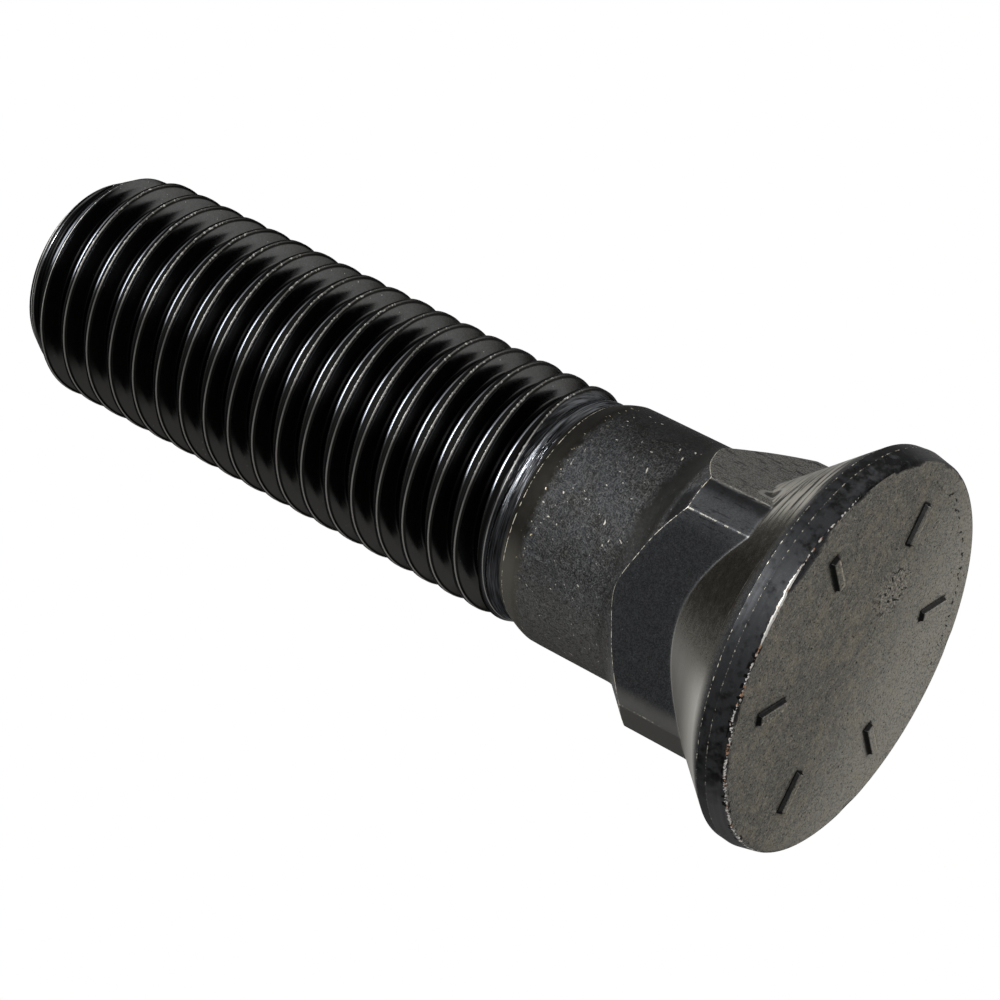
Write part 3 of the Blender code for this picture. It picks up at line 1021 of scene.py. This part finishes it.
    # Worn lines: beaded along the crests' lower edge, brighter as painted highlight on the sides that face
    # the light, thin along the shank, rim and neck, and along the bars' top edges, where they are a painted
    # highlight on the lit side
    bead = times_plus(step(beads, 0.36, 0.62), 0.75, 0.25)
    # Painted highlight: how bright the crest's lower-edge line is, by side; its beads are kept to the lit
    # sides too
    lit_share = times_plus(step(side(-60), 0.93, 0.99), 0.55, 0.3)
    lit_share = times_plus(step(side(-125), 0.75, 0.95), 0.35, lit_share)
    lit_share = times(lit_share, step(side(-105), -0.55, 0.3))
    thin_line = times(near(from_head, 0.0, 0.05), lit_share)
    beaded = times(near(from_head, 0.01, 0.085), dots, step(side(-42), 0.75, 0.95))
    low_edge_wear_and_glint = times(on_crest, most([thin_line, beaded]))
    lay(low_edge_wear_and_glint, grey(0.75, 0.03), 0.42, 0.7)
    tip_face = times(thread, step(radius, tip_radius / mm - 0.08, tip_radius / mm - 0.3))
    tip_colour = blend(step(mottle, 0.35, 0.65), grey(0.03), grey(0.065, 0.02))
    lay(tip_face, tip_colour, 0.46, 0.85, times(grain, 0.8))
    waver = times_plus(beads, 0.06, height)
    shank_line = times(near(waver, rolled_edge_level / mm + 0.04, 0.055), step(beads, 0.4, 0.58))
    rim_line = near(waver, rim_height / mm + 0.03, 0.045)
    band_line = near(waver, band_height / mm + 0.03, 0.045)
    dotted = step(noisy(place, 3.6, 2.0, 0.7), 0.5, 0.62)
    rim_wear = times(zone("rim"), most([rim_line, band_line]), dotted)
    # Worn line on the neck's top edge, and the bars' top edges with their painted highlight
    edge_wear_and_glint = times(step(zone("edge"), 0.55, 0.95), step(beads, 0.36, 0.54))
    worn = most([shank_line, edge_wear_and_glint, rim_wear])
    lay(times(worn, bead), grey(0.5, 0.09), 0.42, 0.5)

    # Bare bright steel along the face's edge, widest where it was knocked, and widened further near -60
    # degrees as a painted highlight
    from_edge = zone("from_edge")
    on_head = most([face, zone("rim")])
    notched = times(step(noisy(place, 1.8, 1.0), 0.54, 0.6), step(from_edge, 0.42, 0.28))
    notched = times(notched, step(side(-115), 0.6, 0.9), on_head)
    lay(notched, grey(0.006), 0.5, 0.5)
    # Painted highlight: the bare line is widest on the side near -60 to -68 degrees
    highlight_streak = step(side(-60), 0.86, 0.93)
    highlight_width = times_plus(step(side(-68), 0.972, 0.998), 0.11, 0.05)
    highlight_width = times_plus(step(beads, 0.42, 0.66), 0.08, highlight_width)
    ragged = step(noisy(place, 5.0, 2.0, 0.7), 0.46, 0.62)
    broken = times_plus(ragged, 0.13, 0.06)
    broken = times(broken, step(side(-100), 0.15, 0.65))
    bare_width = mix(highlight_streak, broken, highlight_width)
    bare_edge_and_highlight = step(minus(bare_width, from_edge), 0.0, 0.04)
    bare_edge_and_highlight = times(bare_edge_and_highlight, on_head)
    copper = blend(step(mottle, 0.54, 0.6), grey(0.85, 0.03), (0.55, 0.32, 0.2, 1.0))
    lay(bare_edge_and_highlight, copper, 0.36, 0.35)

    shape = paint.node("Bump")
    shape.inputs["Strength"].default_value = 1.0
    shape.inputs["Distance"].default_value = 0.012 * mm
    paint.put(shape.inputs["Height"], bump)
    surface = material.node_tree.nodes["Principled BSDF"]
    paint.put(surface.inputs["Base Color"], colour)
    paint.put(surface.inputs["Roughness"], rough)
    paint.put(surface.inputs["Metallic"], metal)
    paint.put(surface.inputs["Normal"], shape.outputs[0])
    surface.inputs["Specular IOR Level"].default_value = 0.25
    surface.inputs["Specular Tint"].default_value = (0.15, 0.15, 0.15, 1.0)
    return material


# The photograph's view: where the camera stands, its right and up directions and its lens.
# Then the point that the lights face, their distance from it, and the floor.
camera_place = Vector((71.90, -212.61, -93.77)) * mm
view_right = Vector((0.2904, 0.5602, -0.7758))
view_up = Vector((0.9135, 0.0790, 0.3991))
view_towards = view_right.cross(view_up)
focal_length = 122.09
sensor_width = 36.0
aim = Vector((0.0, 0.0, 38.0)) * mm
light_distance = 0.6
white = (1.0, 1.0, 1.0)
floor_half = 1.5
floor_drop = 0.05 * mm
floor_colour = (0.85, 0.85, 0.85, 1.0)


def place_camera():
    data = bpy.data.cameras.new("camera")
    data.lens = focal_length
    data.sensor_width = sensor_width
    data.clip_start = 0.01
    camera = bpy.data.objects.new("camera", data)
    bpy.context.collection.objects.link(camera)
    turned = Matrix((view_right, view_up, view_towards)).transposed().to_4x4()
    camera.matrix_world = Matrix.Translation(camera_place) @ turned
    bpy.context.scene.camera = camera


def light_panel(name, right, up, towards, size, power, colour):
    """A square soft light seen from the bolt in a direction that is given in the photograph's view."""
    data = bpy.data.lights.new(name, "AREA")
    data.shape = "SQUARE"
    data.size = size
    data.energy = power
    data.color = colour
    panel = bpy.data.objects.new(name, data)
    bpy.context.collection.objects.link(panel)
    direction = (view_right * right + view_up * up + view_towards * towards).normalized()
    panel.location = aim + direction * light_distance
    panel.rotation_euler = direction.to_track_quat("Z", "Y").to_euler()


def make_world():
    """White behind the bolt and dark in front of it for reflections, and even light for the rest."""
    bpy.context.scene.view_settings.view_transform = "Standard"
    world = bpy.data.worlds.new("studio")
    bpy.context.scene.world = world
    world.use_nodes = True
    world.node_tree.nodes.clear()
    sky = Nodes(world.node_tree)
    direction = sky.node("TexCoord").outputs["Generated"]
    facing = sky.vector("DOT_PRODUCT", direction, view_towards - view_up * 0.03)["Value"]
    reflected = sky.ramp(facing, -0.05, 0.20, 1.0, 0.01)
    above = sky.vector("DOT_PRODUCT", direction, view_up)["Value"]
    from_below = sky.ramp(above, -0.9, 0.1, 0.18, 1.0, "LINEAR")
    path = sky.node("LightPath").outputs
    shown = sky.most([path["Is Camera Ray"], path["Is Transmission Ray"]])
    even = sky.mix(path["Is Glossy Ray"], 0.45, sky.times(reflected, from_below))
    background = sky.node("Background")
    sky.put(background.inputs["Color"], (*white, 1.0))
    sky.put(background.inputs["Strength"], sky.most([shown, even]))
    sky.put(sky.node("OutputWorld").inputs["Surface"], background.outputs[0])


def make_floor():
    """A pale floor under the head. Seen from below it lets the view through."""
    mesh = bpy.data.meshes.new("floor")
    corners = [(-1, -1), (1, -1), (1, 1), (-1, 1)]
    mesh.from_pydata([(x * floor_half, y * floor_half, 0) for x, y in corners], [], [(0, 1, 2, 3)])
    floor = bpy.data.objects.new("floor", mesh)
    bpy.context.collection.objects.link(floor)
    floor.location.z = -floor_drop
    material = bpy.data.materials.new("pale_floor")
    material.use_nodes = True
    material.node_tree.nodes.clear()
    nodes = Nodes(material.node_tree)
    pale = nodes.node("BsdfDiffuse")
    nodes.put(pale.inputs["Color"], floor_colour)
    choice = nodes.node("MixShader")
    nodes.put(choice.inputs[0], nodes.node("NewGeometry").outputs["Backfacing"])
    nodes.put(choice.inputs[1], pale.outputs[0])
    nodes.put(choice.inputs[2], nodes.node("BsdfTransparent").outputs[0])
    nodes.put(nodes.node("OutputMaterial").inputs["Surface"], choice.outputs[0])
    mesh.materials.append(material)
    floor.visible_diffuse = False
    floor.visible_glossy = False
    floor.visible_transmission = False
    floor.visible_shadow = False


place_camera()
make_world()
make_floor()
light_panel("small_key", -0.76, 0.56, 0.25, size=0.10, power=3.0, colour=white)
light_panel("broad_key", -0.80, 0.56, 0.15, size=0.30, power=1.5, colour=(0.85, 0.92, 1.0))
light_panel("front_glint", 0.0, 0.28, 0.95, size=0.12, power=1.0, colour=white)
bolt = make_bolt()
bolt.data.materials.append(black_steel())
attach(bolt, "root")
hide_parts("plow_bolt")
